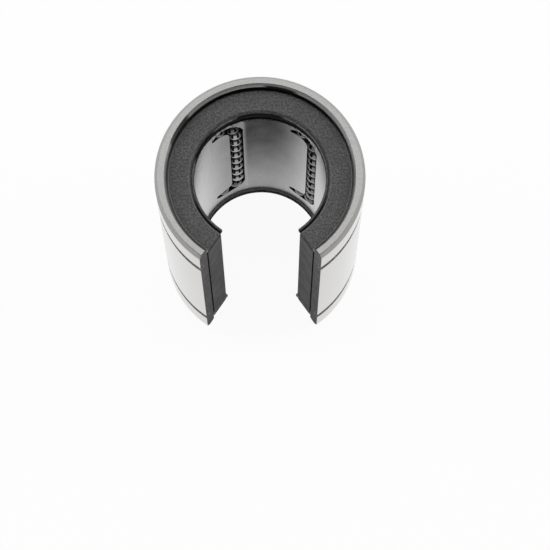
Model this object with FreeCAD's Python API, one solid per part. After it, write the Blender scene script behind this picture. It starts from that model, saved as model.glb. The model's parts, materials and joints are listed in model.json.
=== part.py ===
import FreeCAD, Part
import math
import os

from FreeCAD import Vector

# A linear ball bearing for a round shaft, open along one side so that it can pass the shaft's supports.
# Millimetres. It stands on its lower end: the axis is Z, the origin lies on the axis at mid-length,
# and the open slot faces -Y. The sleeve, the retainer and the end rings are coaxial with Z.

# Shaft and balls
shaft_diameter = 20.0
ball_diameter = 2.778
balls_per_turn = 3
ball_gap = 0.05  # between neighbouring balls in a turn
shaft_clearance = 0.01  # from the crown of a load ball to the shaft

# Ball circuits: an even ring of places, one of which is given up to the slot
circuit_places = 5
circuit_shift = -1.3  # degrees that the circuits stand away from an even placing about the slot
slot_angle = 69.5  # degrees between the two walls of the slot, which are radial
return_lift = 0.8  # how much further from the axis the return row runs than the load row
turn_tilt = 4.0  # degrees that the turns lean outwards, away from the shaft
track_clearance = 0.12  # around a ball in the straight tracks of the retainer
turn_widening = 0.06  # by which the tracks are wider still in the turns
land_clearance = 0.03  # from a load ball to the land that carries it
return_clearance = 0.562  # from a return ball, which runs free of load, to the sleeve
least_end_wall = 0.6  # of the retainer, beyond the turns

# Outer sleeve
bearing_length = 42.0
sleeve_wall = 1.85
outer_chamfer_radial = 0.5
outer_chamfer_axial = 0.9
inner_chamfer = 0.45
groove_spacing = 30.5  # between the outer edges of the two retaining-ring grooves
groove_width = 1.6
groove_depth = 0.75
land_side_clearance = 0.37  # from a land to the walls of the track that it reaches into

# Ball retainer
retainer_bore_clearance = 0.45  # from the shaft
retainer_fit = 0.3  # inside the sleeve
retainer_end_play = 0.6  # to each end ring

# End rings
ring_recess = 1.5  # behind the end of the sleeve
ring_thickness = 1.1
ring_fit = 0.1  # inside the sleeve
ring_edge_chamfer = 0.15
lip_clearance = 0.03  # from the shaft to the lip that wipes it
lip_thickness = 0.3
lip_drop = 0.12  # from the face of the ring down to the lip
lip_groove_width = 0.48  # of the groove that frees the lip, at the face of the ring
lip_groove_draft = 0.4  # by which that groove is narrower on its floor
lip_groove_depth = 0.5
bead_height = 0.2  # of the snap bead that holds a ring in the sleeve
bead_width = 0.3
bead_clearance = 0.06  # from the bead to its groove

# Sizes that follow from these
ball_radius = ball_diameter / 2
turn_radius = (ball_diameter + ball_gap) / (2 * math.sin(math.pi / (2 * balls_per_turn)))
ball_pitch = math.pi * turn_radius / balls_per_turn
track_radius = ball_radius + track_clearance
turn_track_radius = track_radius + turn_widening
tilt = math.radians(turn_tilt)

load_radius = shaft_diameter / 2 + shaft_clearance + ball_radius
return_radius = load_radius + return_lift
land_radius = load_radius + ball_radius + land_clearance
sleeve_bore = return_radius + ball_radius + return_clearance
outside_radius = sleeve_bore + sleeve_wall
retainer_bore = shaft_diameter / 2 + retainer_bore_clearance
retainer_radius = sleeve_bore - retainer_fit
ring_bore = shaft_diameter / 2 + lip_clearance
ring_radius = sleeve_bore - ring_fit
lip_radius = ring_bore + lip_thickness

sleeve_end = bearing_length / 2
ring_outer_face = sleeve_end - ring_recess
ring_inner_face = ring_outer_face - ring_thickness
lip_end = ring_outer_face - lip_drop
bead_middle = (ring_outer_face + ring_inner_face) / 2
retainer_end = ring_inner_face - retainer_end_play

# A row holds as many balls as fit between the two turns of its circuit
turn_reach = turn_radius * math.cos(tilt) + turn_track_radius
balls_per_row = math.floor(2 * (retainer_end - least_end_wall - turn_reach) / ball_pitch)
row_length = balls_per_row * ball_pitch

# The load row and the return row of a circuit stand at the two ends of a chord, which the turns span.
# A circuit is drawn with the normal of that chord along +Y and its load row on the +X side.
chord_shift = (return_radius**2 - load_radius**2) / (4 * turn_radius)
load_x = turn_radius - chord_shift
return_x = -turn_radius - chord_shift
chord_y = math.sqrt(load_radius**2 - load_x**2)
load_angle = math.degrees(math.atan2(load_x, chord_y))
return_angle = math.degrees(math.atan2(return_x, chord_y))
sleeve_reach = outside_radius - chord_y

centre = Vector(0, 0, 0)
axis = Vector(0, 0, 1)
across = Vector(1, 0, 0)


def closed_face(points):
    return Part.Face(Part.makePolygon(points + points[:1]))


def turned(outline):
    """Turns a closed outline of (radius, height) points round the axis."""
    face = closed_face([Vector(radius, 0, height) for radius, height in outline])
    return face.revolve(centre, axis, 360)


def tube(inner_radius, outer_radius, half_length):
    return turned([
        (inner_radius, -half_length),
        (outer_radius, -half_length),
        (outer_radius, half_length),
        (inner_radius, half_length),
    ])


def slot_wedge():
    """The wedge that the open slot takes out of every ring of the bearing."""
    reach = 2 * outside_radius
    half_angle = math.radians(slot_angle / 2)
    corner_x = reach * math.sin(half_angle)
    corner_y = -reach * math.cos(half_angle)
    face = closed_face([
        Vector(0, 0, -bearing_length),
        Vector(corner_x, corner_y, -bearing_length),
        Vector(-corner_x, corner_y, -bearing_length),
    ])
    return face.extrude(Vector(0, 0, 2 * bearing_length))


def placed(shape, angle):
    copy = shape.copy()
    copy.rotate(centre, axis, angle)
    return copy


def circuit_angles():
    """How far each circuit is turned from +Y: one place after another, from the slot round to the slot."""
    place_angle = 360 / circuit_places
    first = 180 + (load_angle + return_angle) / 2 + circuit_shift
    return [first + place_angle * place for place in range(1, circuit_places)]


def turn_centre(side):
    """The middle of a turn: side is 1 at the upper end and -1 at the lower."""
    return Vector(-chord_shift, chord_y, side * row_length / 2)


def turn_rise(side):
    """The direction from the middle of a turn to its outermost ball."""
    return Vector(0, math.sin(tilt), side * math.cos(tilt))


def track_section(middle, outward, radius):
    """The U-shaped section of a ball track: round towards the shaft and open towards the sleeve."""
    right = middle + across * radius
    left = middle - across * radius
    bottom = middle - outward * radius
    rise = outward * sleeve_reach
    edges = [
        Part.LineSegment(right + rise, right).toShape(),
        Part.Arc(right, bottom, left).toShape(),
        Part.LineSegment(left, left + rise).toShape(),
        Part.LineSegment(left + rise, right + rise).toShape(),
    ]
    return Part.Face(Part.Wire(edges))


def row_track(x):
    """The straight track of a row, which runs a little way into the wider track of the turns."""
    overlap = 2 * track_radius * math.sin(tilt)
    start = Vector(x, chord_y, -row_length / 2 - overlap)
    section = track_section(start, Vector(0, 1, 0), track_radius)
    return section.extrude(axis * (row_length + 2 * overlap))


def turn_track(side):
    middle = turn_centre(side)
    outward = Vector(0, math.cos(tilt), -side * math.sin(tilt))
    section = track_section(middle + across * turn_radius, outward, turn_track_radius)
    return section.revolve(middle, across.cross(turn_rise(side)), 180)


def circuit_track():
    return row_track(load_x).multiFuse([row_track(return_x), turn_track(1), turn_track(-1)])


def land():
    """The raised land inside the sleeve on which the load row of a circuit runs."""
    half_width = track_radius - land_side_clearance
    foot = sleeve_bore + (sleeve_wall - groove_depth) / 2
    corner = Vector(load_x - half_width, 0, -row_length / 2)
    bar = Part.makeBox(2 * half_width, outside_radius, row_length, corner)
    return bar.common(tube(land_radius, foot, row_length))


def outer_sleeve():
    """The hardened, ground sleeve with its two retaining-ring grooves, its lands and its bead grooves."""
    groove_outer_edge = groove_spacing / 2
    groove_inner_edge = groove_outer_edge - groove_width
    groove_floor = outside_radius - groove_depth
    bead_groove_floor = ring_radius + bead_height + bead_clearance
    bead_groove_half = bead_width / 2 + bead_clearance
    upper_half = [
        (outside_radius, groove_inner_edge),
        (groove_floor, groove_inner_edge),
        (groove_floor, groove_outer_edge),
        (outside_radius, groove_outer_edge),
        (outside_radius, sleeve_end - outer_chamfer_axial),
        (outside_radius - outer_chamfer_radial, sleeve_end),
        (sleeve_bore + inner_chamfer, sleeve_end),
        (sleeve_bore, sleeve_end - inner_chamfer),
        (sleeve_bore, bead_middle + bead_groove_half + bead_height),
        (bead_groove_floor, bead_middle + bead_groove_half),
        (bead_groove_floor, bead_middle - bead_groove_half),
        (sleeve_bore, bead_middle - bead_groove_half - bead_height),
    ]
    lower_half = [(radius, -height) for radius, height in reversed(upper_half)]
    body = turned(upper_half + lower_half)
    lands = [placed(land(), angle) for angle in circuit_angles()]
    return body.cut(slot_wedge()).multiFuse(lands).removeSplitter()


def ball_retainer():
    """The retainer: a split tube with a closed track for each circuit, which breaks into its bore."""
    body = tube(retainer_bore, retainer_radius, retainer_end).cut(slot_wedge())
    return body.cut([placed(circuit_track(), angle) for angle in circuit_angles()])


def end_ring(side):
    """A moulded end ring with a wiping lip and a snap bead: side is 1 at the upper end, -1 at the lower."""
    groove_edge = lip_radius + lip_groove_width
    groove_floor = ring_outer_face - lip_groove_depth
    outline = [
        (ring_bore, ring_inner_face),
        (ring_radius, ring_inner_face),
        (ring_radius, bead_middle - bead_width / 2 - bead_height),
        (ring_radius + bead_height, bead_middle - bead_width / 2),
        (ring_radius + bead_height, bead_middle + bead_width / 2),
        (ring_radius, bead_middle + bead_width / 2 + bead_height),
        (ring_radius, ring_outer_face - ring_edge_chamfer),
        (ring_radius - ring_edge_chamfer, ring_outer_face),
        (groove_edge, ring_outer_face),
        (groove_edge - lip_groove_draft, groove_floor),
        (lip_radius, groove_floor),
        (lip_radius, lip_end),
        (ring_bore, lip_end),
    ]
    return turned([(radius, side * height) for radius, height in outline]).cut(slot_wedge())


def balls(points, angle):
    """One run of a circuit's balls, as separate solids."""
    return Part.makeCompound([placed(Part.makeSphere(ball_radius, point), angle) for point in points])


def row_points(x):
    first = -(balls_per_row - 1) / 2
    return [Vector(x, chord_y, (first + ball) * ball_pitch) for ball in range(balls_per_row)]


def turn_points(side):
    points = []
    for ball in range(balls_per_turn):
        swing = math.pi * (ball + 0.5) / balls_per_turn
        spoke = across * math.cos(swing) + turn_rise(side) * math.sin(swing)
        points.append(turn_centre(side) + spoke * turn_radius)
    return points


def all_pieces():
    pieces = {
        "outer_sleeve": outer_sleeve(),
        "ball_retainer": ball_retainer(),
        "upper_end_ring": end_ring(1),
        "lower_end_ring": end_ring(-1),
    }
    for number, angle in enumerate(circuit_angles(), start=1):
        pieces[f"circuit_{number}_load_balls"] = balls(row_points(load_x), angle)
        pieces[f"circuit_{number}_return_balls"] = balls(row_points(return_x), angle)
        pieces[f"circuit_{number}_upper_turn_balls"] = balls(turn_points(1), angle)
        pieces[f"circuit_{number}_lower_turn_balls"] = balls(turn_points(-1), angle)
    return pieces


os.makedirs("parts", exist_ok=True)
for name, shape in all_pieces().items():
    shape.exportStep(f"parts/{name}.step")
    print(f"{name}: {len(shape.Solids)} solids, {shape.Volume:.2f} mm3, valid {shape.isValid()}")
print(f"{balls_per_row} balls in a row, pitch {ball_pitch:.4f}, row {row_length:.4f}, turn {turn_radius:.4f}")
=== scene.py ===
import json
import math

import bpy
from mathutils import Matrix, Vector

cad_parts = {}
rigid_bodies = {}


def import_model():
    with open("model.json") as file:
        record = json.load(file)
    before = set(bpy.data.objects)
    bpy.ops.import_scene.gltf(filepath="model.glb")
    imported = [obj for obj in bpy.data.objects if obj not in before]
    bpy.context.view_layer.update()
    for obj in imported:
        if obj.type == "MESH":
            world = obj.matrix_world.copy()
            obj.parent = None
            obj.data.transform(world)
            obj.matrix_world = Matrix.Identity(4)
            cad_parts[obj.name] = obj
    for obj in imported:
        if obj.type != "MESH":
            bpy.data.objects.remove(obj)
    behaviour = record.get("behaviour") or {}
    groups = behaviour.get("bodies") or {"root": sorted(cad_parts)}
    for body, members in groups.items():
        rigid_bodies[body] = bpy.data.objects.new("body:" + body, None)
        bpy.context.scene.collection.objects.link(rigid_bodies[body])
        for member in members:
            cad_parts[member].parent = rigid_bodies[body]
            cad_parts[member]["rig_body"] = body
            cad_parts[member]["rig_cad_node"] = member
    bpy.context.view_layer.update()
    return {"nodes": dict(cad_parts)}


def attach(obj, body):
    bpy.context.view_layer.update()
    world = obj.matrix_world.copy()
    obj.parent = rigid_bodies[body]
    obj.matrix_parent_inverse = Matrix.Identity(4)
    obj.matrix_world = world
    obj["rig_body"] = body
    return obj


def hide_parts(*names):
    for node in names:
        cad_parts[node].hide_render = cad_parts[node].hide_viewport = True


# An open linear ball bearing, standing on its lower end. The axis is Z, the origin lies on it at
# mid-length, and the slot faces -Y. The scene is in metres. The lengths below are in millimetres,
# and are scaled where they are used.

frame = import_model()
nodes = frame["nodes"]

millimetre = 0.001

# Sizes of the bearing that the finishes follow
outside_radius = 16.0
half_length = 21.0
slot_half_angle = math.radians(34.75)
groove_floor_radius = 15.25
groove_inner_edge = 13.65
groove_outer_edge = 15.25
chamfer_start = 20.1
face_inner_radius = 14.6
sleeve_bore_radius = 14.15
recess_top = 20.55
ring_face_height = 19.5
ring_inner_face = 18.4
ring_outer_radius = 14.05
ring_bore_radius = 10.03
lip_radius = 10.33
lip_groove_radius = 10.81
lip_groove_floor = 19.0
retainer_back_radius = 13.85
retainer_end = 17.8

# How far the sharp edges are rounded
sleeve_rounding = 0.06
retainer_rounding = 0.04
ring_rounding = 0.05

# What counts as one corner, as a flat face, as a sharp edge and as a smooth one
weld_distance = 0.0001
flat_angle = math.radians(0.3)
sharp_angle = math.radians(20.0)
smooth_angle = math.radians(60.0)

# The slot's walls are told from the other surfaces by their distance from the plane of the wall
wall_reach = 0.04

# Camera, as the photograph was taken: place and aim, and the focal length for a picture of this width
camera_place = (1.39, -100.22, 324.3)
camera_aim = (2.19, -10.0, 0.0)
camera_lens = 138.33
picture_width = 36.0


# Colours: a pair holds the darker and the lighter part of a grain

def grey(level):
    return (level, level, level, 1.0)


ground_colours = ((0.52, 0.51, 0.50, 1.0), (0.60, 0.59, 0.58, 1.0))
groove_colours = ((0.30, 0.285, 0.275, 1.0), (0.62, 0.60, 0.585, 1.0))
chamfer_colours = ((0.31, 0.305, 0.30, 1.0), (0.42, 0.415, 0.41, 1.0))
end_face_colours = ((0.27, 0.27, 0.265, 1.0), (0.42, 0.415, 0.41, 1.0))
# Inside the sleeve's rim: painted highlight at the back, painted shade at the sides
painted_highlight_rim_colours = ((0.58, 0.575, 0.57, 1.0), (0.78, 0.775, 0.77, 1.0))
painted_shade_rim_colours = (grey(0.12), grey(0.19))
milled_colours = ((0.13, 0.128, 0.13, 1.0), (0.175, 0.173, 0.175, 1.0))
satin_colours = ((0.56, 0.56, 0.565, 1.0), (0.62, 0.62, 0.625, 1.0))
satin_cloud = (0.50, 0.50, 0.51, 1.0)
polymer_colours = ((0.058, 0.057, 0.058, 1.0), (0.175, 0.172, 0.175, 1.0))
polymer_cloud = (0.07, 0.07, 0.072, 1.0)
# Wear on the lip's groove edge, partly a painted highlight
worn_and_highlit_polymer = (0.23, 0.23, 0.232, 1.0)
# Painted highlight on the ring's outer edge at the sides
painted_highlight_ring_edge = grey(0.40)
# Painted light on the ring's inner face towards the balls
painted_light_inner_face = grey(0.75)
clean_ball_colours = (grey(0.29), grey(0.35))
# The load balls of one circuit are darker than the others
darker_ball_colours = (grey(0.17), grey(0.21))
# The balls in the turns are painted darker as shade
painted_shade_turn_ball_colours = (grey(0.09), grey(0.12))
paper_white = grey(0.92)

# Colours of painted shade, of dark spots and of dirt, from the palest to the blackest
painted_chamfer_shadow = grey(0.08)
painted_chamfer_foot_shadow = grey(0.03)
# Painted shade in the gap between sleeve and retainer
painted_gap_shade = grey(0.03)
bore_shade_and_spots = (0.02, 0.02, 0.021, 1.0)
dirt_colour = grey(0.02)
painted_lip_groove_shade = grey(0.015)
painted_recess_shade = grey(0.012)
painted_lip_shade = grey(0.008)
painted_mouth_shade = grey(0.006)
painted_under_lip_shade = grey(0.003)

# How much of a surface shines as metal does: all of bare steel, little where milling dulls it or where shade
# is painted on the bore
bare_metal = 1.0
milled_metal = 0.2
painted_shade_metal = 0.1

# Roughness of the slot's walls, on the sleeve and on the retainer
milled_roughness = 0.5

# Depth of the grain and of the tool lines
sleeve_relief = 0.012
retainer_relief = 0.0005
ring_relief = 0.045

# Paper floor: its width in metres, and how white it glows to the camera and in the steel
paper_width = 4.0
paper_to_camera = 0.94
paper_in_steel = 0.95


# Node building

def feed(tree, socket, value):
    """Links an output to a socket, or sets the socket's own value."""
    if isinstance(value, bpy.types.NodeSocket):
        tree.links.new(value, socket)
    else:
        socket.default_value = value


def calculate(tree, operation, *values):
    node = tree.nodes.new("ShaderNodeMath")
    node.operation = operation
    for socket, value in zip(node.inputs, values):
        feed(tree, socket, value)
    return node.outputs["Value"]


def ramp(tree, value, zero_at, one_at):
    """A smooth step, from 0 where the value is zero_at to 1 where it is one_at."""
    node = tree.nodes.new("ShaderNodeMapRange")
    node.interpolation_type = "SMOOTHSTEP"
    feed(tree, node.inputs["Value"], value)
    feed(tree, node.inputs["From Min"], zero_at)
    feed(tree, node.inputs["From Max"], one_at)
    return node.outputs["Result"]


def band(tree, value, low, high, softness):
    """1 between low and high, falling to 0 over the softness outside them."""
    rise = ramp(tree, value, low - softness, low)
    fall = ramp(tree, value, high + softness, high)
    return calculate(tree, "MULTIPLY", rise, fall)


def all_of(tree, first, *others):
    """A mask that is 1 where all the masks are."""
    mask = first
    for other in others:
        mask = calculate(tree, "MULTIPLY", mask, other)
    return mask


def any_of(tree, first, *others):
    """A mask that is 1 where any of the masks is."""
    mask = first
    for other in others:
        mask = calculate(tree, "MAXIMUM", mask, other)
    return mask


def blend_values(tree, mask, first, second):
    node = tree.nodes.new("ShaderNodeMix")
    node.data_type = "FLOAT"
    feed(tree, node.inputs[0], mask)
    feed(tree, node.inputs[2], first)
    feed(tree, node.inputs[3], second)
    return node.outputs[0]


def blend_colours(tree, mask, first, second):
    node = tree.nodes.new("ShaderNodeMix")
    node.data_type = "RGBA"
    feed(tree, node.inputs[0], mask)
    feed(tree, node.inputs[6], first)
    feed(tree, node.inputs[7], second)
    return node.outputs[2]


def vector_of(tree, x, y, z=0.0):
    node = tree.nodes.new("ShaderNodeCombineXYZ")
    feed(tree, node.inputs["X"], x)
    feed(tree, node.inputs["Y"], y)
    feed(tree, node.inputs["Z"], z)
    return node.outputs["Vector"]


def noise(tree, position, scale, detail, roughness=0.5):
    node = tree.nodes.new("ShaderNodeTexNoise")
    feed(tree, node.inputs["Vector"], position)
    feed(tree, node.inputs["Scale"], scale)
    feed(tree, node.inputs["Detail"], detail)
    feed(tree, node.inputs["Roughness"], roughness)
    return node.outputs["Fac"]


def relief(tree, height, depth):
    """A bump whose full height is the depth, in millimetres."""
    node = tree.nodes.new("ShaderNodeBump")
    node.inputs["Strength"].default_value = 1.0
    node.inputs["Distance"].default_value = depth * millimetre
    feed(tree, node.inputs["Height"], height)
    return node.outputs["Normal"]


def new_group(name, inputs, outputs):
    """An empty node group with named sockets: inputs are (name, kind), and outputs are values."""
    group = bpy.data.node_groups.new(name, "ShaderNodeTree")
    for socket_name, kind in inputs:
        group.interface.new_socket(socket_name, in_out="INPUT", socket_type=kind)
    for socket_name in outputs:
        group.interface.new_socket(socket_name, in_out="OUTPUT", socket_type="NodeSocketFloat")
    entry = group.nodes.new("NodeGroupInput")
    leave = group.nodes.new("NodeGroupOutput")
    return group, entry.outputs, leave.inputs


def place_group(tree, group, **values):
    node = tree.nodes.new("ShaderNodeGroup")
    node.node_tree = group
    for name, value in values.items():
        feed(tree, node.inputs[name], value)
    return node.outputs


def new_material(name):
    """A material with one shader, and the Object coordinates that its patterns read."""
    material = bpy.data.materials.new(name)
    material.use_nodes = True
    tree = material.node_tree
    shader = tree.nodes["Principled BSDF"]
    place = tree.nodes.new("ShaderNodeTexCoord").outputs["Object"]
    return material, tree, shader, place


# Effects that several finishes share

def bearing_place_group():
    """Where a point of the bearing lies, in millimetres.

    Radius is from the axis, Rise above mid-length, Height from mid-length either way, Wall behind the
    plane of the nearer slot wall, and Round along the arc from the back, negative to the left.
    """
    group, given, result = new_group(
        "bearing_place", [("Position", "NodeSocketVector")],
        ["Radius", "Height", "Rise", "Wall", "Round"])
    parts = group.nodes.new("ShaderNodeSeparateXYZ")
    group.links.new(given["Position"], parts.inputs["Vector"])
    x = calculate(group, "DIVIDE", parts.outputs["X"], millimetre)
    y = calculate(group, "DIVIDE", parts.outputs["Y"], millimetre)
    z = calculate(group, "DIVIDE", parts.outputs["Z"], millimetre)
    x_squared = calculate(group, "MULTIPLY", x, x)
    y_squared = calculate(group, "MULTIPLY", y, y)
    radius = calculate(group, "SQRT", calculate(group, "ADD", x_squared, y_squared))
    sideways = calculate(group, "MULTIPLY", calculate(group, "ABSOLUTE", x), math.cos(slot_half_angle))
    backward = calculate(group, "MULTIPLY", y, math.sin(slot_half_angle))
    angle = calculate(group, "ARCTAN2", x, y)
    feed(group, result["Radius"], radius)
    feed(group, result["Height"], calculate(group, "ABSOLUTE", z))
    feed(group, result["Rise"], z)
    feed(group, result["Wall"], calculate(group, "ADD", sideways, backward))
    feed(group, result["Round"], calculate(group, "MULTIPLY", angle, radius))
    return group


def speckle_group():
    """Fine grain and coarser cloudiness, for cast, blasted and moulded skins. Size is the grain's."""
    group, given, result = new_group(
        "speckle", [("Position", "NodeSocketVector"), ("Size", "NodeSocketFloat")], ["Grain", "Cloud"])
    grain_scale = calculate(group, "DIVIDE", 1 / millimetre, given["Size"])
    cloud_scale = calculate(group, "MULTIPLY", grain_scale, 0.12)
    grain = noise(group, given["Position"], grain_scale, detail=4.0, roughness=0.65)
    cloud = noise(group, given["Position"], cloud_scale, detail=3.0)
    feed(group, result["Grain"], ramp(group, grain, 0.3, 0.7))
    feed(group, result["Cloud"], ramp(group, cloud, 0.3, 0.7))
    return group


def tool_lines_group():
    """The fine parallel lines that grinding or drawing leaves: close together across, long along."""
    length_in_spacings = 70.0
    group, given, result = new_group(
        "tool_lines",
        [("Across", "NodeSocketFloat"), ("Along", "NodeSocketFloat"), ("Spacing", "NodeSocketFloat")],
        ["Lines"])
    line_length = calculate(group, "MULTIPLY", given["Spacing"], length_in_spacings)
    across = calculate(group, "DIVIDE", given["Across"], given["Spacing"])
    along = calculate(group, "DIVIDE", given["Along"], line_length)
    lines = noise(group, vector_of(group, across, along), 1.0, detail=3.0, roughness=0.6)
    feed(group, result["Lines"], ramp(group, lines, 0.25, 0.75))
    return group


def worn_edge_group():
    """The bright, broken line that handling leaves on an edge: Distance is from the edge."""
    group, given, result = new_group(
        "worn_edge",
        [("Distance", "NodeSocketFloat"), ("Width", "NodeSocketFloat"), ("Position", "NodeSocketVector")],
        ["Wear"])
    chips = noise(group, given["Position"], 2.5 / millimetre, detail=3.0)
    spread = calculate(group, "MULTIPLY", calculate(group, "MULTIPLY", chips, given["Width"]), 2.0)
    gap = calculate(group, "ABSOLUTE", given["Distance"])
    feed(group, result["Wear"], ramp(group, gap, spread, 0.0))
    return group


def dark_film_group():
    """Uneven darkening for painted shade and dark spots: Amount is from 0 to 1. Film is uneven in flowing
    patches, Drops are separate.
    """
    group, given, result = new_group(
        "dark_film", [("Position", "NodeSocketVector"), ("Amount", "NodeSocketFloat")], ["Film", "Drops"])
    flow = noise(group, given["Position"], 0.25 / millimetre, detail=3.0)
    drops = noise(group, given["Position"], 1.6 / millimetre, detail=2.0)
    unevenness = blend_values(group, flow, 0.8, 1.1)
    level = blend_values(group, given["Amount"], 1.0, 0.45)
    feed(group, result["Film"], calculate(group, "MULTIPLY", given["Amount"], unevenness))
    feed(group, result["Drops"], ramp(group, drops, level, calculate(group, "ADD", level, 0.04)))
    return group


def specks_group():
    """A few small specks of dirt: Spacing is the mean distance between them, Size their radius."""
    group, given, result = new_group(
        "specks",
        [("Position", "NodeSocketVector"), ("Spacing", "NodeSocketFloat"), ("Size", "NodeSocketFloat")],
        ["Specks"])
    cells = group.nodes.new("ShaderNodeTexVoronoi")
    feed(group, cells.inputs["Vector"], given["Position"])
    feed(group, cells.inputs["Scale"], calculate(group, "DIVIDE", 1 / millimetre, given["Spacing"]))
    reach = calculate(group, "MULTIPLY", cells.outputs["Distance"], given["Spacing"])
    feed(group, result["Specks"], ramp(group, reach, given["Size"], 0.0))
    return group


bearing_place = bearing_place_group()
speckle = speckle_group()
tool_lines = tool_lines_group()
worn_edge = worn_edge_group()
dark_film = dark_film_group()
specks = specks_group()


def from_back(tree, spot):
    """The distance along the arc from the back of the bearing, either way."""
    return calculate(tree, "ABSOLUTE", spot["Round"])


def slot_wall(tree, spot):
    """1 on the two milled walls of the slot."""
    return ramp(tree, spot["Wall"], wall_reach, wall_reach / 2)


# Finish of the sleeve

def sleeve_surfaces(tree, spot):
    """Masks that are each 1 on one surface of the sleeve and 0 elsewhere, with narrow soft edges."""
    in_groove = band(tree, spot["Height"], groove_inner_edge, groove_outer_edge, 0.01)
    below_skin = band(tree, spot["Radius"], groove_floor_radius - 0.1, outside_radius - 0.06, 0.03)
    past_skin = ramp(tree, spot["Height"], chamfer_start, chamfer_start + 0.03)
    outer_part = ramp(tree, spot["Radius"], face_inner_radius + 0.1, face_inner_radius + 0.2)
    under_ring = ramp(tree, spot["Height"], ring_face_height, ring_face_height - 0.3)
    at_bore = ramp(tree, spot["Radius"], sleeve_bore_radius + 0.3, sleeve_bore_radius)
    return {
        "groove": all_of(tree, in_groove, below_skin),
        "outer_chamfer": all_of(tree, past_skin, outer_part),
        "inner_side": ramp(tree, spot["Radius"], face_inner_radius - 0.01, face_inner_radius - 0.03),
        "bore": all_of(tree, under_ring, at_bore),
        "end_face": ramp(tree, spot["Height"], half_length - 0.03, half_length - 0.01),
        "wall": slot_wall(tree, spot),
    }


def inner_rim_colour(tree, spot, grain):
    """Inside the sleeve's end: a bright chamfer, a painted highlight, over a recess of black painted shade at
    the back, and painted shade at the sides.
    """
    to_side = ramp(tree, from_back(tree, spot), 6.0, 22.0)
    in_recess = ramp(tree, spot["Height"], recess_top, recess_top - 0.1)
    # Two patches of painted shadow on the chamfer: at the left, and at the back near its foot
    left_shadow = band(tree, spot["Round"], -17.0, -12.9, 1.2)
    chamfer_foot = ramp(tree, spot["Radius"], sleeve_bore_radius + 0.3, sleeve_bore_radius + 0.1)
    back_shadow = all_of(tree, band(tree, spot["Round"], 1.5, 5.0, 1.5), chamfer_foot)

    lit = blend_colours(tree, grain, *painted_highlight_rim_colours)
    # Painted light and shade: the chamfer is lit at the back and shaded towards the sides
    shaded = blend_colours(tree, grain, *painted_shade_rim_colours)
    colour = blend_colours(tree, to_side, lit, shaded)
    # Painted shade in the recess behind the ring
    colour = blend_colours(tree, in_recess, colour, blend_colours(tree, to_side, painted_recess_shade, shaded))
    colour = blend_colours(tree, left_shadow, colour, painted_chamfer_shadow)
    return blend_colours(tree, back_shadow, colour, painted_chamfer_foot_shadow)


def ground_steel():
    """Bearing steel: ground outside, turned matte grooves, grained end faces and milled slot walls."""
    material, tree, shader, place = new_material("ground_bearing_steel")
    spot = place_group(tree, bearing_place, Position=place)
    speckles = place_group(tree, speckle, Position=place, Size=0.16)
    grain = speckles["Grain"]
    lines = place_group(tree, tool_lines, Across=spot["Height"], Along=spot["Round"], Spacing=0.05)["Lines"]
    surface = sleeve_surfaces(tree, spot)

    matte = blend_colours(tree, grain, *groove_colours)
    dull = blend_colours(tree, grain, *chamfer_colours)
    rim = inner_rim_colour(tree, spot, grain)
    face = blend_colours(tree, grain, *end_face_colours)
    milled = blend_colours(tree, speckles["Cloud"], *milled_colours)
    colour = blend_colours(tree, lines, *ground_colours)
    colour = blend_colours(tree, surface["groove"], colour, matte)
    colour = blend_colours(tree, surface["outer_chamfer"], colour, dull)
    # The inside of the rim carries painted light and shade
    colour = blend_colours(tree, surface["inner_side"], colour, rim)
    # Painted shade: the bore under the ring is near black, as the gap's shadow
    colour = blend_colours(tree, surface["bore"], colour, painted_gap_shade)
    colour = blend_colours(tree, surface["end_face"], colour, face)
    colour = blend_colours(tree, surface["wall"], colour, milled)
    feed(tree, shader.inputs["Base Color"], colour)

    rough = blend_values(tree, lines, 0.08, 0.15)
    rough = blend_values(tree, surface["groove"], rough, 0.55)
    rough = blend_values(tree, surface["outer_chamfer"], rough, 0.35)
    rough = blend_values(tree, surface["inner_side"], rough, 0.4)
    rough = blend_values(tree, surface["end_face"], rough, blend_values(tree, grain, 0.30, 0.42))
    rough = blend_values(tree, surface["wall"], rough, milled_roughness)
    feed(tree, shader.inputs["Roughness"], rough)

    shallow_lines = calculate(tree, "MULTIPLY", lines, 0.06)
    shallow_grain = calculate(tree, "MULTIPLY", grain, 0.4)
    height = blend_values(tree, surface["groove"], shallow_lines, grain)
    height = blend_values(tree, surface["end_face"], height, shallow_grain)
    feed(tree, shader.inputs["Normal"], relief(tree, height, sleeve_relief))
    feed(tree, shader.inputs["Metallic"], blend_values(tree, surface["wall"], bare_metal, milled_metal))
    shader.inputs["Specular IOR Level"].default_value = 0.0
    return material


# Finish of the retainer

def painted_shade_streak(tree, spot, left_edge, right_edge, heights, strengths):
    """A streak of painted shade down the bore.

    Each edge is where it is clear and where it is covered, along the arc. The strength goes from the
    first to the second over the heights.
    """
    right_of_edge = ramp(tree, spot["Round"], *left_edge)
    left_of_edge = ramp(tree, spot["Round"], *right_edge)
    strength = blend_values(tree, ramp(tree, spot["Rise"], *heights), *strengths)
    return all_of(tree, right_of_edge, left_of_edge, strength)


def painted_bore_shade(tree, spot, place):
    """Painted shade in the bore: a streak between the two back rows, a thinner one left of it, and some by
    the slot.
    """
    thick = painted_shade_streak(
        tree, spot, left_edge=(-3.4, -1.9), right_edge=(12.0, 1.0),
        heights=(-18.0, 17.0), strengths=(0.36, 0.95))
    thin = painted_shade_streak(
        tree, spot, left_edge=(-13.0, -4.0), right_edge=(0.0, -3.0),
        heights=(-18.0, 12.0), strengths=(0.34, 0.49))
    beside_slot = ramp(tree, from_back(tree, spot), 15.0, 20.0)
    amount = any_of(tree, thick, thin, beside_slot)
    return place_group(tree, dark_film, Position=place, Amount=amount)["Film"]


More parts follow.
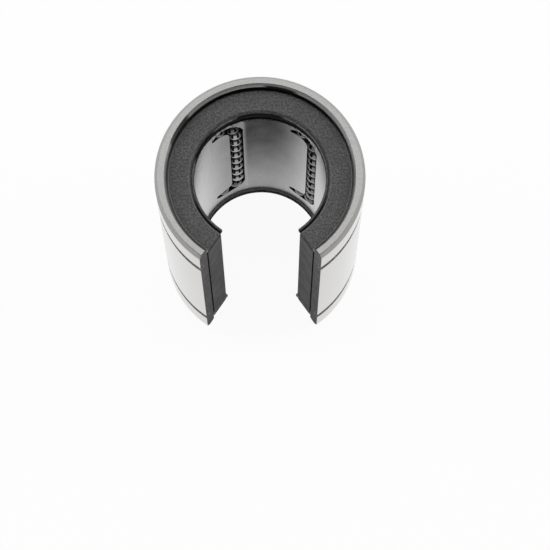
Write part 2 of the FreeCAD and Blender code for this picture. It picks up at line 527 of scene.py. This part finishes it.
def satin_steel():
    """The retainer: satin with drawing lines along the bore, painted shade, dark spots and dirt on them, and
    milled at the slot.
    """
    material, tree, shader, place = new_material("satin_retainer_steel")
    spot = place_group(tree, bearing_place, Position=place)
    speckles = place_group(tree, speckle, Position=place, Size=0.3)
    lines = place_group(tree, tool_lines, Across=spot["Round"], Along=spot["Height"], Spacing=0.12)["Lines"]
    # Painted shade on the bore, where the steel is also made hardly metallic
    bore_shade = painted_bore_shade(tree, spot, place)
    # Dark spots, denser towards the upper end
    upper_edge = ramp(tree, spot["Rise"], 14.4, 16.6)
    drops = place_group(tree, dark_film, Position=place, Amount=upper_edge)["Drops"]
    # Painted shade: a near-black, non-metallic band under the ring's lip
    under_lip = ramp(tree, spot["Rise"], 16.3, 16.65)
    dirt = place_group(tree, specks, Position=place, Spacing=6.0, Size=0.22)["Specks"]
    back = ramp(tree, spot["Radius"], retainer_back_radius - 0.05, retainer_back_radius - 0.03)
    end = ramp(tree, spot["Height"], retainer_end - 0.05, retainer_end - 0.02)
    wall = slot_wall(tree, spot)

    faint_cloud = calculate(tree, "MULTIPLY", speckles["Cloud"], 0.1)
    milled = blend_colours(tree, speckles["Cloud"], *milled_colours)
    colour = blend_colours(tree, lines, *satin_colours)
    colour = blend_colours(tree, faint_cloud, colour, satin_cloud)
    colour = blend_colours(tree, bore_shade, colour, bore_shade_and_spots)
    colour = blend_colours(tree, drops, colour, bore_shade_and_spots)
    colour = blend_colours(tree, under_lip, colour, painted_under_lip_shade)
    colour = blend_colours(tree, dirt, colour, dirt_colour)
    # Painted shade: the retainer's back and ends, in the gap, are near black
    colour = blend_colours(tree, any_of(tree, back, end), colour, painted_gap_shade)
    colour = blend_colours(tree, wall, colour, milled)
    feed(tree, shader.inputs["Base Color"], colour)

    # Where shade is painted on the bore, the steel is hardly metallic
    metal = blend_values(tree, bore_shade, bare_metal, painted_shade_metal)
    # No metal shine in the painted shade under the lip
    metal = blend_values(tree, under_lip, metal, 0.0)
    feed(tree, shader.inputs["Metallic"], blend_values(tree, wall, metal, milled_metal))
    shader.inputs["Specular IOR Level"].default_value = 0.0
    rough = blend_values(tree, lines, 0.26, 0.34)
    feed(tree, shader.inputs["Roughness"], blend_values(tree, wall, rough, milled_roughness))
    shallow_grain = calculate(tree, "MULTIPLY", speckles["Grain"], 0.5)
    height = calculate(tree, "ADD", lines, shallow_grain)
    feed(tree, shader.inputs["Normal"], relief(tree, height, retainer_relief))
    return material


# Finish of the end rings

def ring_painted_shade(tree, spot):
    """Masks of painted shade on an end ring: in the lip's groove beside the slot, and in two patches on the
    lip.
    """
    behind_lip = band(tree, spot["Radius"], lip_radius + 0.02, lip_groove_radius, 0.02)
    below_face = band(tree, spot["Height"], lip_groove_floor - 0.05, ring_face_height - 0.06, 0.05)
    beside_slot = ramp(tree, from_back(tree, spot), 18.5, 22.0)
    on_lip = ramp(tree, spot["Radius"], lip_radius + 0.12, lip_radius + 0.02)
    back_shadow = band(tree, spot["Round"], -3.0, 3.0, 1.5)
    left_shadow = band(tree, spot["Round"], -12.5, -8.5, 1.5)
    in_groove = all_of(tree, behind_lip, below_face, beside_slot)
    in_lip_shadows = all_of(tree, any_of(tree, back_shadow, left_shadow), on_lip)
    return in_groove, in_lip_shadows


def groove_wear_and_highlight(tree, spot, place, to_side):
    """Wear along the outer edge of the lip's groove, with a painted highlight: faint at the back of the ring,
    brighter at the sides.
    """
    distance = calculate(tree, "SUBTRACT", spot["Radius"], lip_groove_radius)
    on_face = ramp(tree, spot["Height"], ring_face_height - 0.12, ring_face_height - 0.04)
    wear = place_group(tree, worn_edge, Distance=distance, Width=0.12, Position=place)["Wear"]
    return all_of(tree, wear, on_face, blend_values(tree, to_side, 0.15, 0.7))


def moulded_polymer():
    """The end rings: a dark, grainy moulded skin, with painted shade at the lip and painted light outside and
    towards the balls.
    """
    material, tree, shader, place = new_material("moulded_ring_polymer")
    spot = place_group(tree, bearing_place, Position=place)
    speckles = place_group(tree, speckle, Position=place, Size=0.3)
    grain = speckles["Grain"]
    to_side = ramp(tree, from_back(tree, spot), 10.0, 20.0)
    shade_in_groove, shade_on_lip = ring_painted_shade(tree, spot)
    mouth = ramp(tree, spot["Radius"], ring_bore_radius + 0.04, ring_bore_radius + 0.01)
    outer_edge = ramp(tree, spot["Radius"], ring_outer_radius - 0.22, ring_outer_radius - 0.12)
    toward_balls = ramp(tree, spot["Height"], ring_inner_face + 0.03, ring_inner_face + 0.01)
    past_lip = ramp(tree, spot["Radius"], ring_bore_radius + 0.06, ring_bore_radius + 0.09)
    faint_cloud = calculate(tree, "MULTIPLY", speckles["Cloud"], 0.3)

    colour = blend_colours(tree, grain, *polymer_colours)
    colour = blend_colours(tree, faint_cloud, colour, polymer_cloud)
    # Painted shade: the lip's bore is near black
    colour = blend_colours(tree, mouth, colour, painted_mouth_shade)
    # Painted shade in the lip's groove beside the slot and in two patches on the lip
    colour = blend_colours(tree, shade_in_groove, colour, painted_lip_groove_shade)
    colour = blend_colours(tree, shade_on_lip, colour, painted_lip_shade)
    # Painted highlight on the ring's outer edge, at the sides only
    colour = blend_colours(tree, all_of(tree, outer_edge, to_side), colour, painted_highlight_ring_edge)
    # Painted light on the inner face towards the balls, which lies in shade
    colour = blend_colours(tree, all_of(tree, toward_balls, past_lip), colour, painted_light_inner_face)
    # Wear on the groove's outer edge, with a painted highlight at the sides
    colour = blend_colours(tree, groove_wear_and_highlight(tree, spot, place, to_side), colour, worn_and_highlit_polymer)
    feed(tree, shader.inputs["Base Color"], colour)
    feed(tree, shader.inputs["Roughness"], blend_values(tree, grain, 0.62, 0.48))
    feed(tree, shader.inputs["Normal"], relief(tree, grain, ring_relief))
    shader.inputs["Specular IOR Level"].default_value = 0.02
    return material


# Finish of the balls

def polished_steel(name, colours):
    """Bearing balls: a mirror finish in the given colours, darker for one circuit's load balls, and darker
    still, as painted shade, in the turns.
    """
    material, tree, shader, place = new_material(name)
    cloud = place_group(tree, speckle, Position=place, Size=0.25)["Cloud"]
    feed(tree, shader.inputs["Base Color"], blend_colours(tree, cloud, *colours))
    feed(tree, shader.inputs["Roughness"], blend_values(tree, cloud, 0.04, 0.09))
    shader.inputs["Metallic"].default_value = bare_metal
    return material


# Pieces

def dress(names, material):
    for name in names:
        piece = nodes[name]
        for slot in piece.material_slots:
            slot.material = material


def copy_of_node(node_name, name):
    """A copy of a node with a mesh of its own. It alone is selected."""
    piece = nodes[node_name].copy()
    piece.data = piece.data.copy()
    piece.name = name
    bpy.context.scene.collection.objects.link(piece)
    bpy.ops.object.select_all(action="DESELECT")
    bpy.context.view_layer.objects.active = piece
    piece.select_set(True)
    return piece


def round_edges(rounding):
    """Joins the flat faces of the selected piece and rounds its sharp edges."""
    bpy.ops.object.mode_set(mode="EDIT")
    bpy.ops.mesh.select_all(action="SELECT")
    bpy.ops.mesh.customdata_custom_splitnormals_clear()
    bpy.ops.mesh.remove_doubles(threshold=weld_distance * millimetre)
    bpy.ops.mesh.dissolve_limited(angle_limit=flat_angle)
    bpy.ops.mesh.select_all(action="DESELECT")
    bpy.ops.mesh.select_mode(type="EDGE")
    bpy.ops.mesh.edges_select_sharp(sharpness=sharp_angle)
    bpy.ops.mesh.bevel(offset=rounding * millimetre, segments=2, affect="EDGES", clamp_overlap=False)
    bpy.ops.object.mode_set(mode="OBJECT")


def shade_smooth(piece):
    """Shades the selected piece smooth, led by its large faces."""
    bpy.ops.object.shade_smooth_by_angle(angle=smooth_angle)
    bpy.ops.object.modifier_add(type="WEIGHTED_NORMAL")
    piece.modifiers["WeightedNormal"].weight = 100
    piece.modifiers["WeightedNormal"].keep_sharp = True
    bpy.ops.object.modifier_apply(modifier="WeightedNormal")


def rounded(node_name, name, rounding, material):
    """A copy of a node with its sharp edges rounded, which stands for the node and rides on the housing."""
    piece = copy_of_node(node_name, name)
    round_edges(rounding)
    shade_smooth(piece)
    piece.data.materials.clear()
    piece.data.materials.append(material)
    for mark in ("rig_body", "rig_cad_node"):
        del piece[mark]
    piece.parent = None
    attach(piece, "housing")
    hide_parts(node_name)


ring_polymer = moulded_polymer()
rounded("outer_sleeve", "rounded_sleeve", sleeve_rounding, ground_steel())
rounded("ball_retainer", "rounded_retainer", retainer_rounding, satin_steel())
rounded("upper_end_ring", "rounded_upper_ring", ring_rounding, ring_polymer)
rounded("lower_end_ring", "rounded_lower_ring", ring_rounding, ring_polymer)
balls = [name for name in nodes if name.endswith("_balls")]
turn_balls = [name for name in balls if name.endswith("_turn_balls")]
dress(balls, polished_steel("polished_ball_steel", clean_ball_colours))
# Painted shade on the balls in the turns
dress(turn_balls, polished_steel("painted_shade_turn_ball_steel", painted_shade_turn_ball_colours))
dress(["circuit_2_load_balls"], polished_steel("darker_load_ball_steel", darker_ball_colours))


# Stage

def paper_floor():
    """White paper: it takes the shadow, and looks white to the camera and in the steel."""
    bpy.ops.object.select_all(action="DESELECT")
    bpy.ops.mesh.primitive_plane_add(size=paper_width, location=(0.0, 0.0, -half_length * millimetre))
    floor = bpy.context.object
    floor.name = "paper_floor"
    material = bpy.data.materials.new("white_paper")
    material.use_nodes = True
    tree = material.node_tree
    shader = tree.nodes["Principled BSDF"]
    shader.inputs["Base Color"].default_value = paper_white
    shader.inputs["Roughness"].default_value = 0.9
    shader.inputs["Specular IOR Level"].default_value = 0.1
    path = tree.nodes.new("ShaderNodeLightPath")
    in_steel = path.outputs["Is Glossy Ray"]
    by_camera = calculate(tree, "MULTIPLY", path.outputs["Is Camera Ray"], paper_to_camera)
    glow = tree.nodes.new("ShaderNodeEmission")
    feed(tree, glow.inputs["Strength"], blend_values(tree, in_steel, 1.0, paper_in_steel))
    mix = tree.nodes.new("ShaderNodeMixShader")
    feed(tree, mix.inputs[0], any_of(tree, by_camera, in_steel))
    feed(tree, mix.inputs[1], shader.outputs["BSDF"])
    feed(tree, mix.inputs[2], glow.outputs["Emission"])
    feed(tree, tree.nodes["Material Output"].inputs["Surface"], mix.outputs["Shader"])
    floor.data.materials.append(material)


def studio_world():
    """A white background, and a room that the steel sees darker overhead and towards the front."""
    world = bpy.data.worlds.new("studio")
    world.use_nodes = True
    bpy.context.scene.world = world
    tree = world.node_tree
    sky = tree.nodes["Background"]
    sky.inputs["Color"].default_value = grey(1.0)
    direction = tree.nodes.new("ShaderNodeSeparateXYZ")
    feed(tree, direction.inputs["Vector"], tree.nodes.new("ShaderNodeTexCoord").outputs["Generated"])
    near_horizon = ramp(tree, direction.outputs["Z"], 0.45, 0.22)
    to_back = ramp(tree, direction.outputs["Y"], -0.2, 0.8)
    to_front = ramp(tree, direction.outputs["Y"], -0.1, -0.6)
    # Each strength goes from the first, away from the named side, to the second, towards it
    overhead = blend_values(tree, to_back, 0.08, 0.45)
    horizon = blend_values(tree, to_front, 1.0, 0.25)
    room = blend_values(tree, near_horizon, overhead, horizon)
    soft_light = blend_values(tree, to_front, 0.5, 0.15)
    path = tree.nodes.new("ShaderNodeLightPath")
    light = blend_values(tree, path.outputs["Is Glossy Ray"], soft_light, room)
    feed(tree, sky.inputs["Strength"], blend_values(tree, path.outputs["Is Camera Ray"], light, 1.0))


def softbox(name, place, size, power):
    """A rectangular lamp that faces the bearing: place and size in metres, power in watts."""
    lamp = bpy.data.lights.new(name, "AREA")
    lamp.shape = "RECTANGLE"
    lamp.size = size[0]
    lamp.size_y = size[1]
    lamp.energy = power
    lamp_object = bpy.data.objects.new(name, lamp)
    bpy.context.scene.collection.objects.link(lamp_object)
    lamp_object.location = place
    lamp_object.rotation_euler = (-Vector(place)).to_track_quat("-Z", "Y").to_euler()


def photo_camera():
    camera = bpy.data.cameras.new("photo_camera")
    camera.lens = camera_lens
    camera.sensor_width = picture_width
    camera.clip_start = 0.01
    camera.clip_end = 20.0
    camera_object = bpy.data.objects.new("photo_camera", camera)
    bpy.context.scene.collection.objects.link(camera_object)
    place = Vector(camera_place) * millimetre
    aim = Vector(camera_aim) * millimetre
    camera_object.location = place
    camera_object.rotation_euler = (aim - place).to_track_quat("-Z", "Y").to_euler()
    bpy.context.scene.camera = camera_object


paper_floor()
studio_world()
softbox("overhead_softbox", place=(0.0, 0.26, 0.80), size=(0.6, 0.5), power=1.5)
softbox("left_softbox", place=(-0.5, 0.15, 0.35), size=(0.3, 0.5), power=1.2)
softbox("right_softbox", place=(0.5, 0.15, 0.35), size=(0.3, 0.5), power=1.2)
photo_camera()
bpy.context.scene.view_settings.view_transform = "Standard"
